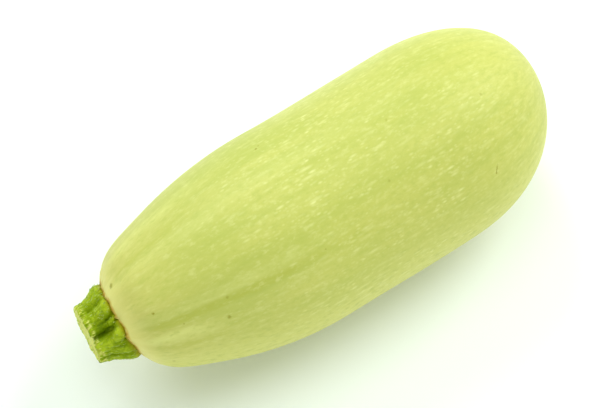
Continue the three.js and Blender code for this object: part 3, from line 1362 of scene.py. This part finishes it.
@dataclass
class Stem:
    """The short cut stem: rounded ridges that press on the seat with swollen feet, under fine bristles."""

    fruit: Fruit
    base_x: float = 10.7 * MM
    cut_x: float = -3.5 * MM
    cut_swing: float = 5.2 * MM
    cut_drop: float = 1 * MM
    cut_lean: tuple[float, float] = (-0.035, -0.07)  # upwards and to the side
    bevel: float = 1.3 * MM
    dish: float = 0.8 * MM
    radii: tuple[float, ...] = (16.1, 16.9, 16.7, 15.8, 14.7, 13.7, 12.9, 12.5)  # millimetres, base to cut
    grooves: tuple[float, ...] = (1.3, 1.9, 2.4, 2.7, 2.8, 2.7, 2.4, 2.0)  # how steeply the ridges fall
    ridges: tuple[Ridge, ...] = (
        Ridge(5, 20, 0),
        Ridge(28, 14, -0.6, twist=6, fall=-0.9),
        Ridge(45, 21, 0.2, twist=9),
        Ridge(89, 22, 0, twist=4),
        Ridge(134, 23, 0.3),
        Ridge(184, 24, -0.2),
        Ridge(228, 20, 0.1),
        Ridge(268, 16, 0),
        Ridge(292, 14, -0.2, twist=-4),
        Ridge(326, 16, 0.3, twist=-24),
        Ridge(342, 11, -0.2, fall=1.1),
    )
    sharpness: float = 2.4
    dimples: tuple[Dimple, ...] = (
        Dimple(332, 13, 0.7, 0.14, 2.8),
        Dimple(325, 9, 0.34, 0.26, -0.8),
        Dimple(7, 12, 0.2, 0.22, -0.6),
        Dimple(328, 19, 1.06, 0.11, -1.8),
        Dimple(47, 9, 0.52, 0.09, -0.35),
        Dimple(36, 6, 0.5, 0.07, -0.3),
        Dimple(42, 7, 0.83, 0.08, -0.35),
        Dimple(20, 7, 0.7, 0.12, 0.2),
    )
    creases: tuple[Crease, ...] = (
        Crease((-0.05, 25), (0.5, 35), 0.6, 0.9, 0.1),
        Crease((0.0, -6), (0.6, -12), 0.75, 1.5, 0.7),
        Crease((0.0, -16.5), (0.55, -26), 0.55, 1.4, 0.6),
        Crease((-0.05, -47), (0.55, -52), 0.8, 1.7, 0.5),
        Crease((0.1, -77), (0.95, -80), 0.5, 0.7, 0.6),
        Crease((0.0, 67), (0.6, 70), 0.6, 0.8, 0.3),
        Crease((0.0, 112), (0.7, 116), 0.6, 0.8, 0.3),
        Crease((0.0, 158), (0.6, 160), 0.6, 0.7, 0.3),
        Crease((0.0, 208), (0.7, 205), 0.6, 0.8, 0.3),
        Crease((0.0, 254), (0.6, 251), 0.6, 0.8, 0.3),
    )
    noise_length: float = 15  # the stem as the noise sees it
    noise_radius: float = 14
    press_depth: float = 6 * MM  # more than the deepest groove
    press_height: float = 1 * MM  # more than the highest bump
    cut_wear: float = 0.6 * MM
    # Each step forward and the narrowing with it, as shares of the bevel.
    bevel_steps: tuple[tuple[float, float], ...] = ((0.42, 0.1), (0.3, 0.22), (0.18, 0.32), (0.1, 0.46))
    dish_steps: tuple[float, ...] = (0.93, 0.9, 0.85, 0.8, 0.7, 0.6)  # each ring against the last
    sides: int = 128
    rings: int = 14
    push_step: float = 2  # degrees
    seed: int = 7
    bristle_count: int = 420
    bristle_shares: tuple[float, float] = (0.12, 0.97)
    bristle_lengths: tuple[float, float] = (0.7, 1.7)
    bristle_widths: tuple[float, float] = (0.6, 1.2)
    bristle_sway: float = 0.5
    bristle_lift: tuple[float, float] = (0.03, 0.26)
    too_deep_for_bristles: float = -1.5
    look_from: float = 30 * MM  # outside the thickest ridge
    finish: StemFinish = field(default_factory=StemFinish)
    bristle_finish: BristleFinish = field(default_factory=BristleFinish)

    def ring(self, share: float, radius: float) -> Ring:
        """A cross-section of the stem at a share of its length, which may be a little under its base.

        Args:
            share: The share of the stem's length.
            radius: The ring's radius.

        Returns:
            The ring.
        """
        base_up, base_side = self.fruit.lean(self.base_x)
        x = blend_of(self.base_x, self.cut_x, share)
        swing = blend_of(self.fruit.swing(self.base_x), self.cut_swing, share)
        up = blend_of(base_up, self.cut_lean[0], share)
        side = blend_of(base_side, self.cut_lean[1], share)
        centre_y, centre_z = self.fruit.axis_y + swing, self.fruit.axis_z - self.cut_drop * share
        return Ring(self.fruit.start_x + x, radius, centre_y, centre_z, up, side)

    def station(self, point: Vector) -> tuple[float, float, float]:
        """Where a point is on the stem.

        Args:
            point: A place in the frame.

        Returns:
            Its share of the stem's length, its distance from the axis, and its angle round it.
        """
        span = self.base_x - self.cut_x
        share = (self.base_x - (point.x - self.fruit.start_x)) / span
        for _ in range(3):
            ring = self.ring(share, 1)
            aside, above = point.y - ring.centre_y, point.z - ring.centre_z
            x = point.x - self.fruit.start_x + ring.lean_up * above + ring.lean_side * aside
            share = (self.base_x - x) / span
        return share, math.hypot(aside, above), math.degrees(math.atan2(aside, above))

    def crest(self, share: float) -> float:
        """The radius over the ridges."""
        return along_list(self.radii, share) * MM

    def relief(self, share: float, angle: float) -> float:
        """How far the surface stands above the crest radius, mostly below 0, in millimetres.

        Args:
            share: The share of the stem's length.
            angle: The angle round the stem.

        Returns:
            The height.
        """
        groove = along_list(self.grooves, share)
        blended = 0.0
        for ridge in self.ridges:
            aside = turn(ridge.angle + ridge.twist * share, angle) / ridge.half_width
            blended += math.exp(self.sharpness * (ridge.rise - ridge.fall * share - groove * aside**2))
        hollows = sum(hollow.amount(share, angle) for hollow in (*self.dimples, *self.creases))
        return math.log(blended) / self.sharpness - hollows + self._bumps(share, angle)

    def _bumps(self, share: float, angle: float) -> float:
        """Small knobs towards the cut and on the upper ridge, and fine lines along the whole stem.

        Args:
            share: The share of the stem's length.
            angle: The angle round the stem.

        Returns:
            Their height in millimetres.
        """
        place = wrapped(share * self.noise_length, self.noise_radius, angle)
        knobs = noise.noise(place * 0.55) * 0.45 + noise.noise(place * 1.1) * 0.3
        knobby = max(smooth_share(share, 0.4, 0.75), 0.9 * bell(turn(50, angle), 16), 0.2)
        lines = noise.noise(Vector((share * 3, place.y * 1.25, place.z * 1.25)))
        lined = 0.2 * smooth_share(share, 0.05, 0.3)
        grit = noise.noise(place * 1.9) * 0.09
        return knobs * knobby + lines * lined + grit * smooth_share(share, 0.03, 0.2)

    def push(self, angle: float) -> float:
        """How far the foot at an angle pushes the fruit's lip back.

        Args:
            angle: The angle round the stem.

        Returns:
            How far the lip moves.
        """
        place = angle % 360 / self.push_step
        index = int(place)
        following = (index + 1) % len(self._pushes)
        return blend_of(self._pushes[index], self._pushes[following], place - index)

    @cached_property
    def _pushes(self) -> list[float]:
        """How far the foot pushes the lip back, at even steps round it.

        Returns:
            The moves, from the top round by way of +Y.
        """
        pushes = []
        for i in range(round(360 / self.push_step)):
            angle = i * self.push_step
            unrest = noise.noise(wrapped(0, self.noise_radius / 4, angle))
            relief = sum(self.relief(0.05, angle + aside) for aside in (-7, -3.5, 0, 3.5, 7)) / 5
            pushes.append((0.6 * (relief + 0.6) + 0.2 * unrest) * MM)
        return pushes

    def build(self) -> None:
        """Makes the stem and its bristles."""
        work = Workpiece("ridged_stem", self.sides, self.ring(-0.06, 14.2 * MM), capped=False)
        work.grow(self._rings())
        face_outwards()
        work.subdivide(2)
        self._press_ridges(work)
        self._wear_cut(work)
        self._close_cut(work)
        self._close_foot(work)
        self._record_form(work)
        work.shade_smooth(50)
        self.piece = work.piece
        self._dress(work.piece)
        self.bristles = self._plant_bristles()

    def _rings(self) -> Iterable[Ring]:
        """The rings from the swollen feet to the cut.

        Returns:
            The rings in order.
        """
        yield self.ring(-0.03, 15.2 * MM)
        for i in range(self.rings + 1):
            share = i / self.rings
            yield self.ring(share, self.crest(share))

    def _press_ridges(self, work: Workpiece) -> None:
        """Presses the grooves between the ridges, and the pocket, into the tube.

        Args:
            work: The piece on the bench.
        """

        def depth(point: Vector) -> float:
            """How far a point is pressed in from the highest ridge."""
            share, _, angle = self.station(point)
            return (self.press_height - self.relief(share, angle) * MM) / self.press_depth

        work.press("crests", self.press_height, lambda point: 1.0)
        work.press("grooves between ridges", -self.press_depth, depth)

    def _wear_cut(self, work: Workpiece) -> None:
        """Makes the edge of the cut uneven, as a blunt knife leaves it.

        Args:
            work: The piece on the bench.
        """

        def ragged(point: Vector) -> float:
            """How far a point near the cut is worn away."""
            share, _, angle = self.station(point)
            place = wrapped(3, 6, angle)
            unrest = 0.5 + 0.6 * noise.noise(place) + 0.5 * noise.noise(place * 2.7)
            return max(unrest, 0.0) * smooth_share(share, 0.84, 1.0)

        work.press("ragged edge", -self.cut_wear, ragged, Direction.TOWARDS_BLOSSOM)

    def _close_cut(self, work: Workpiece) -> None:
        """Bevels the cut's edge and dishes its face.

        Args:
            work: The piece on the bench.
        """
        ring = self.ring(1, 1)
        middle_x = (self.ring(0, 1).x + ring.x) / 2
        outward = Vector((-1, 0, 0))
        work.select_open_end(lambda point: point.x < middle_x)
        radius = self.radii[-1] * MM
        for forward, inward in self.bevel_steps:
            work.draw_in(ring.centre, outward * self.bevel * forward, 1 - self.bevel * inward / radius)
        for narrower in self.dish_steps:
            work.draw_in(ring.centre, -outward * self.dish / len(self.dish_steps), narrower)
        work.close()

    def _close_foot(self, work: Workpiece) -> None:
        """Closes the foot, which is out of sight in the seat.

        Args:
            work: The piece on the bench.
        """
        ring = self.ring(0, 1)
        middle_x = (ring.x + self.ring(1, 1).x) / 2
        work.select_open_end(lambda point: point.x > middle_x)
        for narrower in (0.7, 0.5):
            work.draw_in(ring.centre, Vector((0, 0, 0)), narrower)
        work.close()

    def _record_form(self, work: Workpiece) -> None:
        """Writes how high each point is on its ridge, how far along the stem, and how far inside the cut.

        Args:
            work: The piece on the bench.
        """

        def form(point: Vector) -> Vector:
            """A point's height, its share of the length and its way inside."""
            share, radius, angle = self.station(point)
            relief = self.relief(share, angle)
            outline = self.crest(share) + relief * MM
            inside = max(1 - radius / outline - 0.02, 0) if share > 0.9 else 0
            return Vector((share_between(relief, -3.2, 0.4), share, inside))

        work.record("form", form)

    def _dress(self, piece: bpy.types.Object) -> None:
        """Gives the stem its flesh, in place of the plain solid.

        Args:
            piece: The finished stem.
        """
        piece.data.materials.append(self.finish.material())
        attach(piece, "root")
        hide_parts("stem")

    def _plant_bristles(self) -> bpy.types.Object:
        """Plants short bristles that lie close to the stem and point towards its foot.

        Returns:
            All the bristles, as one piece.
        """
        draw = random.Random(self.seed)
        first = self._shape_bristle()
        planted = []
        for _ in range(self.bristle_count):
            root = self._bristle_root(draw)
            length = draw.uniform(*self.bristle_lengths)
            width = draw.uniform(*self.bristle_widths)
            if root is not None:
                place = Matrix.Translation(root[0]) @ root[1].to_matrix().to_4x4()
                bristle = first.copy()
                bristle.data = first.data.copy()
                bristle.data.transform(place @ Matrix.Diagonal((width, width, length, 1)))
                bpy.context.collection.objects.link(bristle)
                planted.append(bristle)
        bpy.data.objects.remove(first)
        select_only(*planted)
        bpy.ops.object.join()
        bristles = bpy.context.object
        bristles.name = "stem_bristles"
        bristles.data.name = "stem_bristles"
        bristles.data.materials.append(self.bristle_finish.material())
        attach(bristles, "root")
        return bristles

    def _shape_bristle(self) -> bpy.types.Object:
        """Shapes one bristle, a millimetre long, with its foot at the origin: it tapers and bends over.

        Returns:
            The bristle.
        """
        foot = (0, 0, -0.05 * MM)
        bristle = lay_circle("bristle", vertices=4, radius=0.15 * MM, fill_type="NGON", location=foot)
        for shift, height, narrower in ((0.02, 0.5, 0.75), (0.08, 0.4, 0.55)):
            step = (0, shift * MM, height * MM)
            bpy.ops.mesh.extrude_region_move(TRANSFORM_OT_translate={"value": step})
            bpy.ops.transform.resize(value=(narrower, narrower, narrower))
        bpy.ops.mesh.extrude_region_move(TRANSFORM_OT_translate={"value": (0, 0.06 * MM, 0.15 * MM)})
        bpy.ops.mesh.merge(type="CENTER")
        face_outwards()
        return bristle

    def _bristle_root(self, draw: random.Random) -> tuple[Vector, Quaternion] | None:
        """Draws where a bristle stands and which way it points, or None where it finds no flesh.

        Args:
            draw: The random numbers.

        Returns:
            Its root and its turn, or None.
        """
        share = draw.uniform(*self.bristle_shares)
        angle = draw.uniform(-180, 180)
        if self.relief(share, angle) < self.too_deep_for_bristles:
            return None
        met = self.ring(share, 0).look_in(self.piece, angle, self.look_from)
        if met is None:
            return None
        root, normal = met
        along = (Vector((1, 0, 0)) - normal * normal.x).normalized()
        across = normal.cross(along) * draw.uniform(-self.bristle_sway, self.bristle_sway)
        pointing = along + normal * draw.uniform(*self.bristle_lift) + across
        return root, pointing.to_track_quat("Z", "Y")


# ---- The studio ----


@dataclass(frozen=True)
class Viewpoint:
    """Where the camera stands: high over the fruit's near side, a little towards the stem."""

    azimuth: float = -33.35
    elevation: float = 66
    distance: float = 0.75
    aim: Triple = (0.15 * MM, 0, 42 * MM)
    lens: float = 109.45
    sensor: float = 36
    shift: tuple[float, float] = (-0.0215, 0.0088)

    def place(self) -> None:
        """Sets up the camera."""
        around, above = math.radians(self.azimuth), math.radians(self.elevation)
        level = math.cos(above)
        back = Vector((math.sin(around) * level, -math.cos(around) * level, math.sin(above)))
        right = Vector((math.cos(around), math.sin(around), 0))
        up = back.cross(right)
        bpy.ops.object.camera_add(location=Vector(self.aim) + back * self.distance)
        camera = bpy.context.object
        camera.name = "camera"
        camera.data.lens = self.lens
        camera.data.sensor_width = self.sensor
        camera.rotation_mode = "QUATERNION"
        camera.rotation_quaternion = Matrix((right, up, back)).transposed().to_quaternion()
        camera.data.shift_x, camera.data.shift_y = self.shift
        bpy.context.scene.camera = camera


@dataclass(frozen=True)
class Softbox:
    """A large soft lamp that faces the middle of the floor."""

    name: str
    place: Triple
    size: float
    watts: float
    colour: Triple = (0.92, 1.0, 1.0)

    def hang(self) -> None:
        """Hangs the lamp."""
        bpy.ops.object.light_add(type="AREA", location=self.place)
        lamp = bpy.context.object
        lamp.name = self.name
        lamp.data.shape = "DISK"
        lamp.data.size = self.size
        lamp.data.energy = self.watts
        lamp.data.color = self.colour
        lamp.rotation_mode = "QUATERNION"
        lamp.rotation_quaternion = (-Vector(self.place)).to_track_quat("-Z", "Y")


@dataclass(frozen=True)
class Studio:
    """A white floor under soft lamps, with white all round."""

    floor_size: float = 6.0
    floor_paint: Paint = paint(250, 251, 250)
    floor_cloud: Paint = paint(252, 253, 252)
    sky: Paint = (0.91, 1.0, 0.87, 1.0)
    sky_strength: float = 0.62
    lamps: tuple[Softbox, ...] = (
        Softbox("overhead softbox", (0, 0.15, 1.6), 1.0, 4.2),
        Softbox("right softbox", (1.13, 0, 1.13), 1.0, 11.9),
        Softbox("far softbox", (0, 1.2, 1.05), 1.0, 10.5),
        Softbox("low near softbox", (-0.3, -1.45, 0.6), 1.0, 3.0),
    )

    def build(self) -> None:
        """Lays the floor, hangs the lamps and lights the room."""
        bpy.ops.object.select_all(action="DESELECT")
        bpy.ops.mesh.primitive_plane_add(size=self.floor_size, location=(0, 0, 0))
        floor = bpy.context.object
        floor.name = "floor"
        floor.data.transform(floor.matrix_world)
        floor.data.materials.append(self._floor_material())
        for lamp in self.lamps:
            lamp.hang()
        self._light_room()

    def _floor_material(self) -> bpy.types.Material:
        """A plain matt white.

        Returns:
            The material.
        """
        mix = Recipe("white floor")
        cloud = mix.cloud(mix.place(), (400, 400, 400), 1.0)
        colour = mix.tint(self.floor_paint, self.floor_cloud, cloud)
        mix.settle(Specular_IOR_Level=0.1)
        return mix.finish(colour, 0.9, cloud, 0.001 * MM)

    def _light_room(self) -> None:
        """Lights the room evenly from all sides."""
        world = bpy.data.worlds.new("studio")
        world.use_nodes = True
        background = world.node_tree.nodes["Background"]
        background.inputs["Color"].default_value = self.sky
        background.inputs["Strength"].default_value = self.sky_strength
        bpy.context.scene.world = world
        bpy.context.scene.view_settings.view_transform = "Standard"


def main() -> None:
    """Builds the courgette and its studio."""
    logging.basicConfig(level=logging.INFO, format="%(name)s: %(message)s")
    Viewpoint().place()
    Studio().build()
    log.info("studio: floor, lamps and camera in place")
    fruit = Fruit()
    stem = Stem(fruit)
    stem.build()
    for piece in (stem.piece, stem.bristles, fruit.build(stem)):
        log.info("%s: %d faces", piece.name, len(piece.data.polygons))


if __name__ == "__main__":
    main()
